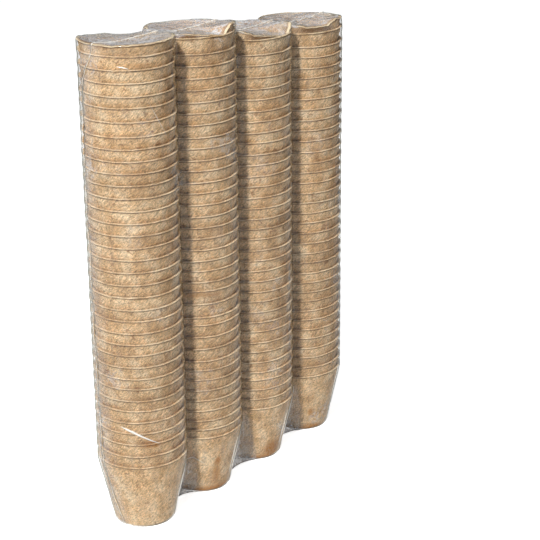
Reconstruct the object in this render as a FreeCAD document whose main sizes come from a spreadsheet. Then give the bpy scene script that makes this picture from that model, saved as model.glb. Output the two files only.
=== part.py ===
"""Shrink-wrapped pack of nested round peat pots, in millimetres.

Four stacks of nested pots stand in one row along X, mouths up. Clear film closes over
all of them: a front web and a back web, welded together in the row's centre plane. The
origin is on the surface that the pack stands on, under the middle of the row, and +Z is up.
Stack 1 is at the -X end.
"""
import FreeCAD, Part
import math
import os
import Sketcher

STACKS = (1, 2, 3, 4)
POT_COUNTS = (36, 38, 37, 36)
GROUPS_PER_STACK = 12

SIZES = (
    ("rim_diameter", 80.0, "pot, across the lip"),
    ("base_diameter", 54.7, "pot, across the base"),
    ("pot_height", 60.5, "pot, base to rim"),
    ("pot_wall", 1.8, "thickness of the wall, measured level"),
    ("pot_floor", 2.2, "thickness of the floor"),
    ("base_bevel", 1.2, "bevel between base and wall, each way"),
    ("lip_proud", 0.6, "how far the lip stands out from the wall"),
    ("lip_height", 2.0, "height of the lip with its sloped underside"),
    ("lip_edge", 0.9, "height of the lip's upright edge"),
    ("pressed_band", 10.0, "height of wall that the film presses in, on a pressed top pot"),
    ("pressed_inset", 2.6, "how far a pressed rim is drawn in from the lip's radius"),
    ("pressed_drop", 4.0, "how far a pressed rim is drawn down"),
    ("play_in_stack_1", 0.46, "level gap between nested walls, the first stack is packed loosest"),
    ("play_in_stack_2", 0.33, "level gap between nested walls"),
    ("play_in_stack_3", 0.30, "level gap between nested walls"),
    ("play_in_stack_4", 0.32, "level gap between nested walls"),
    ("rim_gap", 0.4, "between the rims of neighbouring stacks"),
    ("film_thickness", 0.4, "stands in for film about 0.05 mm thick"),
    ("film_clearance", 0.3, "between film and rims"),
    ("valley_1_low", 6.0, "half width of the film's neck between stacks 1 and 2, at the base"),
    ("valley_2_low", 16.0, "half width of the film's neck between stacks 2 and 3, at the base"),
    ("valley_3_low", 12.0, "half width of the film's neck between stacks 3 and 4, at the base"),
    ("valley_mid", 17.0, "half width of each neck at the rim of the bottom pots"),
    ("valley_top", 20.0, "half width of each neck at the top"),
    ("seam_width", 1.6, "width of the weld seam"),
    ("seam_proud", 0.5, "how far the weld seam stands out from the film"),
    ("overrun", 5.0, "how far cutting shapes reach past what they cut"),
)

# Heights on the bottom pot, as shares of its height, and how far the neck has gone there
# from its width at the base to its width at the rim.
VALLEY_BLEND_SHARES = ((0.0, 0.0), (0.12, 0.15), (0.3, 0.42), (0.55, 0.75), (0.8, 0.93), (1.0, 1.0))

doc = FreeCAD.newDocument("peat_pot_pack")
parts = []


def make_sheet():
    sheet = doc.addObject("Spreadsheet::Sheet", "sizes")
    for row, (name, value, meaning) in enumerate(SIZES, start=1):
        sheet.set(f"A{row}", name)
        sheet.set(f"B{row}", str(value))
        sheet.set(f"C{row}", meaning)
        sheet.setAlias(f"B{row}", name)
    doc.recompute()
    return sheet


sizes = make_sheet()


def size(name):
    return float(sizes.get(name))


def count(stack):
    """How many pots are nested in a stack."""
    return POT_COUNTS[stack - 1]


# The wall leans out by this much for each unit of height.
LEAN_RULE = (
    "((sizes.rim_diameter - sizes.base_diameter) / 2 - sizes.lip_proud)"
    " / (sizes.pot_height - sizes.lip_height - sizes.base_bevel)"
)


def lean():
    run = (size("rim_diameter") - size("base_diameter")) / 2 - size("lip_proud")
    return run / (size("pot_height") - size("lip_height") - size("base_bevel"))


def pitch_rule(stack):
    """How far each nested pot stands above the one that it sits in."""
    return f"(sizes.pot_wall + sizes.play_in_stack_{stack}) / ({LEAN_RULE})"


def pitch(stack):
    return (size("pot_wall") + size(f"play_in_stack_{stack}")) / lean()


# Distance from one stack's axis to the next, and a length that reaches past either end of the row.
SPACING_RULE = "(sizes.rim_diameter + sizes.rim_gap)"
REACH_RULE = f"{len(STACKS)} * {SPACING_RULE}"


def spacing():
    return size("rim_diameter") + size("rim_gap")


def stack_share(stack):
    """Place of a stack along the row, in spacings from the row's middle."""
    return stack - (len(STACKS) + 1) / 2


def is_pressed(stack):
    """The film presses in the top rims of all stacks but the first."""
    return stack > 1


def whole_pot_points():
    """Outline of a pot from the middle of its base round to the middle of its floor."""
    base, rim = "sizes.base_diameter / 2", "sizes.rim_diameter / 2"
    wall_top = f"{rim} - sizes.lip_proud"
    mouth = f"{wall_top} - sizes.pot_wall + sizes.lip_height * {LEAN_RULE}"
    floor = f"{base} - sizes.pot_wall + (sizes.pot_floor - sizes.base_bevel) * {LEAN_RULE}"
    return [
        (None, None),
        (f"{base} - sizes.base_bevel", None),
        (base, "sizes.base_bevel"),
        (wall_top, "sizes.pot_height - sizes.lip_height"),
        (rim, "sizes.pot_height - sizes.lip_edge"),
        (rim, "sizes.pot_height"),
        (mouth, "sizes.pot_height"),
        (floor, "sizes.pot_floor"),
        (None, "sizes.pot_floor"),
    ]


def pressed_pot_points():
    """The same pot with the top band of its wall pressed in and down by the film."""
    bend_level = "sizes.pot_height - sizes.pressed_band"
    bend = f"sizes.base_diameter / 2 + ({bend_level} - sizes.base_bevel) * {LEAN_RULE}"
    rim = "sizes.rim_diameter / 2 - sizes.pressed_inset"
    level = "sizes.pot_height - sizes.pressed_drop"
    points = whole_pot_points()
    pressed = [
        (bend, bend_level),
        (rim, level),
        (f"{rim} - sizes.pot_wall", level),
        (f"{bend} - sizes.pot_wall", bend_level),
    ]
    return points[:3] + pressed + points[-2:]


def rough_places(pressed):
    """Starting places for the outline's corners, which the sketch's constraints then set."""
    base, rim, tall = size("base_diameter") / 2, size("rim_diameter") / 2, size("pot_height")
    wall, floor, bevel = size("pot_wall"), size("pot_floor"), size("base_bevel")
    if pressed:
        bend_level, level = tall - size("pressed_band"), tall - size("pressed_drop")
        bend = base + (bend_level - bevel) * lean()
        edge = rim - size("pressed_inset")
        top = [(bend, bend_level), (edge, level), (edge - wall, level), (bend - wall, bend_level)]
    else:
        wall_top = rim - size("lip_proud")
        top = [
            (wall_top, tall - size("lip_height")),
            (rim, tall - size("lip_edge")),
            (rim, tall),
            (wall_top - wall, tall),
        ]
    return [(0, 0), (base - bevel, 0), (base, bevel), *top, (base - wall, floor), (0, floor)]


def origin_feature(body, role):
    return next(f for f in body.Origin.OriginFeatures if f.Role == role)


def outline_sketch(body, rules, places):
    """A closed outline on the XZ plane, each corner held by its distances from the axis and base."""
    sketch = body.newObject("Sketcher::SketchObject", "outline")
    sketch.AttachmentSupport = (origin_feature(body, "XZ_Plane"), "")
    sketch.MapMode = "FlatFace"
    corners = [FreeCAD.Vector(x, y, 0) for x, y in places]
    for start, end in zip(corners, corners[1:] + corners[:1]):
        sketch.addGeometry(Part.LineSegment(start, end), False)
    lines = len(corners)
    for line in range(lines):
        sketch.addConstraint(Sketcher.Constraint("Coincident", line, 2, (line + 1) % lines, 1))
    for line, ((x_rule, y_rule), corner) in enumerate(zip(rules, corners)):
        for kind, rule, value, axis in (
            ("DistanceX", x_rule, corner.x, -2),
            ("DistanceY", y_rule, corner.y, -1),
        ):
            if rule is None:
                sketch.addConstraint(Sketcher.Constraint("PointOnObject", line, 1, axis))
            else:
                held = sketch.addConstraint(Sketcher.Constraint(kind, -1, 1, line, 1, value))
                sketch.setExpression(f"Constraints[{held}]", rule)
    return sketch


def add_pots(label, stack, first, pots, pressed=False):
    """A node of nested pots: an outline turned round the pot's axis, repeated up the stack."""
    body = doc.addObject("PartDesign::Body", label)
    body.Label = label
    body.AllowCompound = True
    rules = pressed_pot_points() if pressed else whole_pot_points()
    sketch = outline_sketch(body, rules, rough_places(pressed))
    pot = body.newObject("PartDesign::Revolution", "turned_pot")
    pot.Profile = sketch
    pot.ReferenceAxis = (sketch, ["V_Axis"])
    pot.Angle = 360
    body.Tip = pot
    if pots > 1:
        nest = body.newObject("PartDesign::LinearPattern", "nest")
        nest.Originals = [pot]
        nest.Direction = (origin_feature(body, "Z_Axis"), [""])
        nest.Occurrences = pots
        nest.setExpression("Length", f"{pots - 1} * {pitch_rule(stack)}")
        body.Tip = nest
    along = stack_share(stack)
    body.setExpression("Placement.Base.x", f"{along} * {SPACING_RULE}")
    body.setExpression("Placement.Base.z", f"sizes.film_thickness + {first} * {pitch_rule(stack)}")
    parts.append(body)


def add_stack(stack):
    """Bottom pot, the pots nested between in even groups, and the top pot."""
    pots = count(stack)
    between = pots - 2
    add_pots(f"stack_{stack}_bottom_pot", stack, 0, 1)
    for group in range(GROUPS_PER_STACK):
        start = between * group // GROUPS_PER_STACK
        end = between * (group + 1) // GROUPS_PER_STACK
        add_pots(f"stack_{stack}_pots_{group + 1:02d}", stack, start + 1, end - start)
    add_pots(f"stack_{stack}_top_pot", stack, pots - 1, 1, is_pressed(stack))


def film_radius(share):
    """Inside radius of the film round a stack, at a share of the bottom pot's height."""
    base, rim = size("base_diameter") / 2, size("rim_diameter") / 2
    return base + (rim - base) * min(share, 1.0) + size("film_clearance")


def outline_wire(name, radius, necks, level):
    """Level outline of the film: an arc round each stack and a hollow arc in each valley."""
    half = spacing() / 2
    turns = []
    for neck in necks:
        hollow = (half**2 + neck**2 - radius**2) / (2 * (radius - neck))
        turns.append((hollow, math.atan2(neck + hollow, half)))

    def place(middle, reach, angle, side):
        x, y = middle[0] + reach * math.cos(angle), middle[1] + reach * math.sin(angle)
        return FreeCAD.Vector(x, side * y, level)

    def side_edges(side):
        edges = []
        for index, stack in enumerate(STACKS):
            middle = (stack_share(stack) * spacing(), 0.0)
            start = math.pi if index == 0 else math.pi - turns[index - 1][1]
            end = 0.0 if index == len(turns) else turns[index][1]
            marks = [place(middle, radius, angle, side) for angle in (start, (start + end) / 2, end)]
            edges.append(Part.Arc(*marks).toShape())
            if index < len(turns):
                hollow, angle = turns[index]
                valley = (middle[0] + half, necks[index] + hollow)
                sweep = (math.pi + angle, 1.5 * math.pi, 2 * math.pi - angle)
                marks = [place(valley, hollow, turn, side) for turn in sweep]
                edges.append(Part.Arc(*marks).toShape())
        return edges

    wire = doc.addObject("Part::Feature", name)
    wire.Shape = Part.Wire(Part.__sortEdges__(side_edges(-1) + side_edges(1)))
    return wire


def top_level(stack):
    """Inside height of the film over a stack."""
    drop = size("pressed_drop") if is_pressed(stack) else 0.0
    rim = (count(stack) - 1) * pitch(stack) + size("pot_height") - drop
    return size("film_thickness") + rim + size("film_clearance")


def top_wire(name, grow):
    """Upright outline that the film's top follows, from the lowest end round to the start."""
    reach = size("rim_diameter") / 2
    levels = [top_level(stack) + grow for stack in STACKS]
    line = []
    for index, stack in enumerate(STACKS):
        middle = stack_share(stack) * spacing()
        if index == 0 or levels[index - 1] <= levels[index]:
            line.append((middle - reach, levels[index]))
        if index == len(STACKS) - 1 or levels[index + 1] <= levels[index]:
            line.append((middle + reach, levels[index]))
    far = len(STACKS) * spacing() / 2 + size("overrun")
    line = [(-far, line[0][1]), *line, (far, line[-1][1])]
    back = len(STACKS) * spacing()
    below = size("overrun")
    corners = [(-far, -below), *line, (far, -below)]
    points = [FreeCAD.Vector(x, -back, z) for x, z in corners]
    wire = doc.addObject("Part::Feature", name)
    wire.Shape = Part.Wire(Part.makePolygon(points + points[:1]))
    return wire


def joined(kind, name, base, tool):
    """A boolean of two objects, either Part::Cut or Part::Common."""
    result = doc.addObject(kind, name)
    result.Base = base
    result.Tool = tool
    return result


def film_envelope(name, grow):
    """Solid that fills the film, grown outward from its inner face. It ends flat at the base."""
    low = [size(f"valley_{number}_low") for number in range(1, len(STACKS))]
    mid, top = size("valley_mid"), size("valley_top")
    inner_base = size("film_thickness")
    sections = []
    for share, blend in VALLEY_BLEND_SHARES:
        necks = [start + (mid - start) * blend + grow for start in low]
        sections.append((film_radius(share) + grow, necks, inner_base + share * size("pot_height")))
    if grow:
        radius, necks, _ = sections[0]
        sections.insert(0, (radius, necks, 0.0))
    ceiling = max(top_level(stack) for stack in STACKS) + size("overrun")
    sections.append((film_radius(1.0) + grow, [top + grow] * len(low), ceiling))
    wires = [
        outline_wire(f"{name}_level_{number}", *section) for number, section in enumerate(sections)
    ]
    column = doc.addObject("Part::Loft", f"{name}_column")
    column.Sections = wires
    column.Solid = True
    column.Ruled = True
    under_top = doc.addObject("Part::Extrusion", f"{name}_under_top")
    under_top.Base = top_wire(f"{name}_top_line", grow)
    under_top.DirMode = "Custom"
    under_top.Dir = FreeCAD.Vector(0, 1, 0)
    under_top.setExpression("LengthFwd", f"2 * {REACH_RULE}")
    under_top.Solid = True
    return joined("Part::Common", name, column, under_top)


def slab(name, start_rule, width_rule):
    """A block past both ends, base and top of the pack, from one distance in Y over a width."""
    tallest = max(STACKS, key=top_level)
    rims = f"{count(tallest) - 1} * {pitch_rule(tallest)} + sizes.pot_height"
    block = doc.addObject("Part::Box", name)
    block.setExpression("Length", f"2 * {REACH_RULE}")
    block.setExpression("Width", width_rule)
    block.setExpression("Height", f"{rims} + 3 * sizes.overrun")
    block.setExpression("Placement.Base.x", f"-1 * {REACH_RULE}")
    block.setExpression("Placement.Base.y", start_rule)
    block.setExpression("Placement.Base.z", "-1 * sizes.overrun")
    return block


def add_film_part(label, whole, block):
    part = joined("Part::Common", label, whole, block)
    part.Label = label
    parts.append(part)


def add_film():
    """Two webs of film that meet the weld seam face to face."""
    inside = film_envelope("inside", 0.0)
    outside = film_envelope("outside", size("film_thickness"))
    raised = film_envelope("raised", size("film_thickness") + size("seam_proud"))
    shell = joined("Part::Cut", "shell", outside, inside)
    raised_shell = joined("Part::Cut", "raised_shell", raised, inside)
    seam = "sizes.seam_width"
    beside_seam = f"{REACH_RULE} - {seam} / 2"
    add_film_part("film_front_web", shell, slab("front_slab", f"-1 * {REACH_RULE}", beside_seam))
    add_film_part("film_back_web", shell, slab("back_slab", f"{seam} / 2", beside_seam))
    add_film_part("film_weld_seam", raised_shell, slab("seam_slab", f"-{seam} / 2", seam))


def check_and_write():
    """Stop if any object failed, then write one file for each sub-part."""
    doc.recompute()
    for thing in doc.Objects:
        if "Invalid" in thing.State or "Error" in thing.State:
            raise RuntimeError(f"{thing.Name} failed: {thing.State}")
    for part in parts:
        if part.Shape.isNull() or not part.Shape.isValid():
            raise RuntimeError(f"{part.Label} has no valid shape")
    os.makedirs("parts", exist_ok=True)
    for part in parts:
        part.Shape.exportStep(f"parts/{part.Label}.step")
        box = part.Shape.optimalBoundingBox()
        extent = f"{box.XLength:.1f} x {box.YLength:.1f} x {box.ZLength:.1f}"
        print(f"{part.Label}: {len(part.Shape.Solids)} solids, {extent}")


for stack in STACKS:
    add_stack(stack)
add_film()
check_and_write()
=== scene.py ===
# %% [markdown]
# # A shrink-wrapped pack of peat pots
#
# The pack is four tall stacks of nested pots, standing mouth up in one row. Each pot is pressed
# from wet wood pulp and peat. Clear film is shrunk over all of them: a front web and a back web,
# welded together in the row's centre plane.
#
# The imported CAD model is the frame. It says where each pot and each web of film is, so every
# piece here is built in place around it.

# %% Load the frame
import math
import random

import bmesh
import bpy
import numpy as np
from mathutils import Matrix, Vector, noise


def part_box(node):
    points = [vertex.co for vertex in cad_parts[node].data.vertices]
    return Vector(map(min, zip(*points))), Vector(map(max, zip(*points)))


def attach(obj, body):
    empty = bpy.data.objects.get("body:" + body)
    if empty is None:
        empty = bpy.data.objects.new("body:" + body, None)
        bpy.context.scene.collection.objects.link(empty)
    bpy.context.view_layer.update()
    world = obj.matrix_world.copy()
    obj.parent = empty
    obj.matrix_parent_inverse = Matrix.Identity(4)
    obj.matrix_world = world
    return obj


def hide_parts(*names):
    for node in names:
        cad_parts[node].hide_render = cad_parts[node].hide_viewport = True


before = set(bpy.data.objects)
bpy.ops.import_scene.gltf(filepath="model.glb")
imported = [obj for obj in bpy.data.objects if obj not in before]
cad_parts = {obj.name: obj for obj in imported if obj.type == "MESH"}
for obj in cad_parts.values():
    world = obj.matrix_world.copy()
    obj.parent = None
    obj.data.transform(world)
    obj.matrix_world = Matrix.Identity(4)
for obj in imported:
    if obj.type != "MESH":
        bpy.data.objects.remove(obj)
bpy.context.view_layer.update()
print("frame:", len(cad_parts), "nodes")

# %% [markdown]
# ## Sizes
#
# A pot's outline is a handful of lengths. The rest follows from the frame: how far the wall leans
# out, and how far each nested pot stands above the one that it sits in.

# %% Sizes of the pot and of the stacks
MM = 0.001
POT_COUNTS = {1: 36, 2: 38, 3: 37, 4: 36}
STACKS = tuple(POT_COUNTS)
GROUPS_PER_STACK = 12

bottom_low, bottom_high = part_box("stack_1_bottom_pot")
RIM_RADIUS = (bottom_high.x - bottom_low.x) / 2
POT_HEIGHT = bottom_high.z - bottom_low.z
POTS_LEVEL = bottom_low.z
BASE_RADIUS = 26.8 * MM
POT_WALL = 1.8 * MM
POT_FLOOR = 2.2 * MM
BASE_BEVEL = 1.2 * MM

# The lip stands proud of the wall. Its edge is upright, and its underside slopes back to the wall.
LIP_PROUD = 0.95 * MM
LIP_HEIGHT = 1.0 * MM
LIP_EDGE = 0.62 * MM
LIP_ROUND = 0.3 * MM

# How far the wall leans out for each unit that it rises.
LEAN = (RIM_RADIUS - LIP_PROUD - BASE_RADIUS) / (POT_HEIGHT - LIP_HEIGHT - BASE_BEVEL)


def stack_axis(stack):
    """Distance along the row to a stack's axis."""
    low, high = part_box(f"stack_{stack}_bottom_pot")
    return (low.x + high.x) / 2


AXES = {stack: stack_axis(stack) for stack in STACKS}
PITCHES = {}
for stack in STACKS:
    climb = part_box(f"stack_{stack}_top_pot")[0].z - POTS_LEVEL
    PITCHES[stack] = climb / (POT_COUNTS[stack] - 1)
print("pitches in mm:", {stack: round(pitch / MM, 2) for stack, pitch in PITCHES.items()})

# %% [markdown]
# ## Camera
#
# The photograph's camera was found by fitting the counted rims, so it is written as a real place,
# a turn, a tilt and a slight roll. A long lens stands about 1.5 m away and a little above the pack.

# %% Camera
CAMERA_PLACE = Vector((-1.0444, -0.8373, 0.6917))
CAMERA_TURN = math.radians(53.119)
CAMERA_TILT = math.radians(-20.267)
CAMERA_ROLL = math.radians(-0.539)
FRAME_PIXELS = 540
FOCAL_PIXELS = 1545.3

camera_data = bpy.data.cameras.new("camera")
camera_data.sensor_width = 36.0
camera_data.lens = camera_data.sensor_width * FOCAL_PIXELS / FRAME_PIXELS
camera = bpy.data.objects.new("camera", camera_data)
bpy.context.scene.collection.objects.link(camera)

flat = math.cos(CAMERA_TILT)
forward = Vector((math.sin(CAMERA_TURN) * flat, math.cos(CAMERA_TURN) * flat, math.sin(CAMERA_TILT)))
right = forward.cross(Vector((0, 0, 1))).normalized()
axes = Matrix((right, right.cross(forward), -forward)).transposed()
camera.matrix_world = (
    Matrix.Translation(CAMERA_PLACE) @ axes.to_4x4() @ Matrix.Rotation(CAMERA_ROLL, 4, "Z")
)
bpy.context.scene.camera = camera
print("lens:", round(camera_data.lens, 1), "mm")

# %% [markdown]
# ## Four helpers
#
# Colours are written as the hex values that a paint program shows. Shaders work in linear light,
# so one function turns a hex value to linear. One more adds a shader node with its settings and
# its links. Two short ones start an empty material and give a colour ramp its stops.

# %% Helpers for colours and nodes
def linear(hex_colour):
    """An sRGB hex value such as "#C8A986" as linear red, green, blue and alpha."""
    channels = [int(hex_colour[i : i + 2], 16) / 255 for i in (1, 3, 5)]
    return [c / 12.92 if c <= 0.04045 else ((c + 0.055) / 1.055) ** 2.4 for c in channels] + [1.0]


def add_node(tree, kind, inputs=None, **settings):
    """A shader node. An input's value is either a plain value or the output that it is linked to."""
    node = tree.nodes.new(kind)
    for name, value in settings.items():
        setattr(node, name, value)
    for name, value in (inputs or {}).items():
        if isinstance(value, bpy.types.NodeSocket):
            tree.links.new(value, node.inputs[name])
        else:
            node.inputs[name].default_value = value
    return node


def new_material(name):
    """An empty material, with its tree and its output node."""
    material = bpy.data.materials.new(name)
    material.use_nodes = True
    material.node_tree.nodes.clear()
    return material, material.node_tree, material.node_tree.nodes.new("ShaderNodeOutputMaterial")


def set_ramp(node, *stops):
    """Gives a colour ramp its stops, each a position and a grey or a hex colour."""
    ramp = node.color_ramp
    while len(ramp.elements) < len(stops):
        ramp.elements.new(0.5)
    for element, (position, value) in zip(ramp.elements, stops):
        element.position = position
        element.color = linear(value) if isinstance(value, str) else (value, value, value, 1.0)
    return node


print("sandy brown in linear light:", [round(channel, 3) for channel in linear("#CFAF86")[:3]])

# %% [markdown]
# ## Stage
#
# The pack stands on a plain pale floor under soft studio light. The floor is white to the camera
# and still takes the pack's shadow. The main lamp stands high and a little to the left of the
# camera. From there each stack shades a strip of the next one, and its far side turns dark, as in
# the photograph. Two broad lamps, at the left and above, and the even sky soften it.
#
# The film mirrors its surroundings, and a plain white studio would leave it flat. So its mirrors
# see a blurred yard with dark leaves, blue-grey sky and bright cloud.

# %% Stage and light
FLOOR_SIZE = 12.0
FLOOR_GLOW = 0.85
LAMPS = {
    "key": {"place": (-2.2, -0.9, 2.38), "power": 97.0, "size": 0.27},
    "left": {"place": (-1.3, 1.1, 1.0), "power": 2.5, "size": 1.2},
    "top": {"place": (0.3, -0.1, 2.0), "power": 5.0, "size": 1.0},
}
LOOK_AT = Vector((0.0, 0.0, 0.22))
SKY_LIGHT = 0.055


def seen_straight(tree, path):
    """1 where the camera looks straight or through the film, 0 for light and for mirrors."""
    return add_node(
        tree, "ShaderNodeMath",
        {0: path.outputs["Is Camera Ray"], 1: path.outputs["Is Transmission Ray"]}, operation="MAXIMUM",
    ).outputs[0]


floor_mesh = bmesh.new()
bmesh.ops.create_grid(floor_mesh, x_segments=1, y_segments=1, size=FLOOR_SIZE / 2)
floor_data = bpy.data.meshes.new("floor")
floor_mesh.to_mesh(floor_data)
floor_mesh.free()
floor = bpy.data.objects.new("floor", floor_data)
bpy.context.scene.collection.objects.link(floor)

floor_material, tree, output = new_material("matt_white_floor")
paint = add_node(tree, "ShaderNodeBsdfDiffuse", {"Color": linear("#F2F2F0")})
glow = add_node(tree, "ShaderNodeEmission", {"Color": linear("#FFFFFF"), "Strength": FLOOR_GLOW})
both = add_node(tree, "ShaderNodeAddShader", {0: paint.outputs[0], 1: glow.outputs[0]})
seen = seen_straight(tree, add_node(tree, "ShaderNodeLightPath"))
mixed = add_node(tree, "ShaderNodeMixShader", {0: seen, 1: paint.outputs[0], 2: both.outputs[0]})
tree.links.new(mixed.outputs[0], output.inputs["Surface"])
floor_data.materials.append(floor_material)

for name, lamp in LAMPS.items():
    light = bpy.data.lights.new(name, "AREA")
    light.shape = "DISK"
    light.size = lamp["size"]
    light.energy = lamp["power"]
    holder = bpy.data.objects.new(name, light)
    place = Vector(lamp["place"])
    facing = (LOOK_AT - place).to_track_quat("-Z", "Y")
    holder.matrix_world = Matrix.Translation(place) @ facing.to_matrix().to_4x4()
    bpy.context.scene.collection.objects.link(holder)

world = bpy.data.worlds.new("studio")
world.use_nodes = True
tree = world.node_tree
tree.nodes.clear()
path = add_node(tree, "ShaderNodeLightPath")
mirrored = path.outputs["Is Glossy Ray"]
bright = add_node(
    tree, "ShaderNodeMath", {0: seen_straight(tree, path), 1: mirrored}, operation="MAXIMUM"
)
strength = add_node(
    tree, "ShaderNodeMapRange", {"Value": bright.outputs[0], "To Min": SKY_LIGHT, "To Max": 1.0}
)
around = add_node(tree, "ShaderNodeTexCoord")
blots = add_node(
    tree, "ShaderNodeTexNoise", {"Vector": around.outputs["Generated"], "Scale": 3.2, "Detail": 3.0}
)
yard = set_ramp(
    add_node(tree, "ShaderNodeValToRGB", {"Fac": blots.outputs["Fac"]}),
    (0.38, "#40423A"), (0.5, "#9C9CAA"), (0.6, "#FFFAF4"),
)
sight = add_node(
    tree, "ShaderNodeMix", {0: mirrored, 6: linear("#FFFFFF"), 7: yard.outputs["Color"]}, data_type="RGBA"
)
sky = add_node(tree, "ShaderNodeBackground", {"Color": sight.outputs[2], "Strength": strength.outputs[0]})
output = tree.nodes.new("ShaderNodeOutputWorld")
tree.links.new(sky.outputs[0], output.inputs["Surface"])
bpy.context.scene.world = world
bpy.context.scene.view_settings.view_transform = "Standard"
print("stage: floor and", len(LAMPS), "lamps")

# %% [markdown]
# ## Pressed fibre
#
# The pots are pressed from a slurry of wood pulp and peat on a mesh mould, then dried. The wall is
# matt and sandy brown. Close up it is a felt of short fibres that lie at a slant, with darker bark
# flecks and cloudy patches a centimetre or two across. The lip is cut and frayed, so it is paler,
# and its paler colour also holds a painted highlight where light catches it.
#
# Hair particles could be such fibres, but 147 pots of hair would be far too heavy. Noise that is
# stretched along two slants looks like a felt and costs little, and it feeds the bump too. The
# fibres follow the wall, so their pattern reads the pot's own UV map, in metres around and up.
# Clouds and flecks go through the whole felt, so they read the place itself.

# %% Felt of fibres, clouds and flecks
# Real pulp fibres are about 0.1 mm wide. They are drawn as bundles 0.85 mm wide, because single
# ones don't show from where the camera stands.
CLOUD_SIZE = 14 * MM
SPECK_SIZE = 1.5 * MM
BARK_SIZE = 5 * MM
FIBRE_WIDTH = 0.85 * MM
FIBRE_LENGTH = 5.5 * MM
FIBRE_DEPTH = 0.5 * MM
FIBRE_SLANTS = (52, 24)
FIBRE_CONTRAST = 0.62
SPECK_CONTRAST = 0.66

fibre, tree, output = new_material("pressed_wood_pulp")
place = add_node(tree, "ShaderNodeTexCoord")
clouds = add_node(
    tree, "ShaderNodeTexNoise",
    {"Vector": place.outputs["Object"], "Scale": 1 / CLOUD_SIZE, "Detail": 4.0},
)
body = set_ramp(
    add_node(tree, "ShaderNodeValToRGB", {"Fac": clouds.outputs["Fac"]}),
    (0.32, "#BC996F"), (0.5, "#CFAF86"), (0.68, "#DDC5A2"),
)
specks = add_node(
    tree, "ShaderNodeTexNoise",
    {"Vector": place.outputs["Object"], "Scale": 1 / SPECK_SIZE, "Detail": 3.0, "Roughness": 0.7},
)
colour = body.outputs["Color"]
height = specks.outputs["Fac"]
for slant in FIBRE_SLANTS:
    laid = add_node(
        tree, "ShaderNodeMapping",
        {
            "Vector": place.outputs["UV"],
            "Rotation": (0, 0, math.radians(slant)),
            "Scale": (FIBRE_LENGTH, FIBRE_WIDTH, 1),
        },
        vector_type="TEXTURE",
    )
    strands = add_node(
        tree, "ShaderNodeTexNoise",
        {"Vector": laid.outputs[0], "Scale": 1.0, "Detail": 2.0, "Roughness": 0.6, "Distortion": 0.6},
    )
    tone = set_ramp(
        add_node(tree, "ShaderNodeValToRGB", {"Fac": strands.outputs["Fac"]}),
        (0.32, 0.5), (0.5, 1.0), (0.68, 1.4),
    )
    colour = add_node(
        tree, "ShaderNodeMix", {0: FIBRE_CONTRAST, 6: colour, 7: tone.outputs[0]},
        data_type="RGBA", blend_type="MULTIPLY",
    ).outputs[2]
    height = add_node(
        tree, "ShaderNodeMath", {0: height, 1: strands.outputs["Fac"]}, operation="ADD"
    ).outputs[0]
speckled = set_ramp(
    add_node(tree, "ShaderNodeValToRGB", {"Fac": specks.outputs["Fac"]}),
    (0.34, 0.35), (0.46, 1.0), (0.68, 1.5),
)
colour = add_node(
    tree, "ShaderNodeMix", {0: SPECK_CONTRAST, 6: colour, 7: speckled.outputs[0]},
    data_type="RGBA", blend_type="MULTIPLY",
).outputs[2]
bark = add_node(
    tree, "ShaderNodeTexNoise",
    {"Vector": place.outputs["Object"], "Scale": 1 / BARK_SIZE, "Detail": 4.0, "Distortion": 1.2},
)
bark = set_ramp(
    add_node(tree, "ShaderNodeValToRGB", {"Fac": bark.outputs["Fac"]}), (0.6, 0.0), (0.68, 0.6)
)
colour = add_node(
    tree, "ShaderNodeMix", {0: bark.outputs[0], 6: colour, 7: linear("#8A5A38")}, data_type="RGBA"
).outputs[2]
print("felt:", len(FIBRE_SLANTS), "lays of fibres,", FIBRE_WIDTH / MM, "mm wide")

# %% [markdown]
# ## Marks on the fibre
#
# Each pot's mesh carries four attributes. They say where peat has stained it, where painted shade
# lies in the corner under the lip and in the fold under a pressed rim, where the lip is, and how
# dark the whole pot came out of the mould, which on the bottom pots also holds painted bounce light.
#
# A felt soaks up water unevenly and its lip wears in places, so the specks break up the stains
# and the clouds break up the paler colour of the lip.

# %% Stains, painted shade under the lips, pale lips with a painted highlight and the tone of each pot
# How dark the painted shade under the lips and in the pressed folds is.
PAINTED_SHADE_DARKNESS = 0.8

stain = add_node(tree, "ShaderNodeAttribute", attribute_name="peat_stain")
ragged = add_node(
    tree, "ShaderNodeMapRange",
    {"Value": specks.outputs["Fac"], "From Min": 0.35, "From Max": 0.6, "To Min": 0.35, "To Max": 1.3},
)
soaked = add_node(
    tree, "ShaderNodeMath", {0: stain.outputs["Fac"], 1: ragged.outputs[0]}, operation="MULTIPLY"
)
colour = add_node(
    tree, "ShaderNodeMix", {0: soaked.outputs[0], 6: colour, 7: linear("#AB7233")}, data_type="RGBA"
).outputs[2]
# Painted shade: a dark line in the corner under each lip, where its shadow falls, and in the fold under a
# pressed rim.
painted_shade = add_node(tree, "ShaderNodeAttribute", attribute_name="painted_shade")
shadow_line = add_node(
    tree, "ShaderNodeMath", {0: painted_shade.outputs["Fac"], 1: PAINTED_SHADE_DARKNESS}, operation="MULTIPLY"
)
colour = add_node(
    tree, "ShaderNodeMix", {0: shadow_line.outputs[0], 6: colour, 7: linear("#5A3C24")}, data_type="RGBA"
).outputs[2]
lip = add_node(tree, "ShaderNodeAttribute", attribute_name="lip")
worn = add_node(
    tree, "ShaderNodeMapRange",
    {"Value": clouds.outputs["Fac"], "From Min": 0.4, "From Max": 0.62, "To Min": 0.12, "To Max": 0.5},
)
frayed_and_lit = add_node(
    tree, "ShaderNodeMath", {0: lip.outputs["Fac"], 1: worn.outputs[0]}, operation="MULTIPLY"
)
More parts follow.
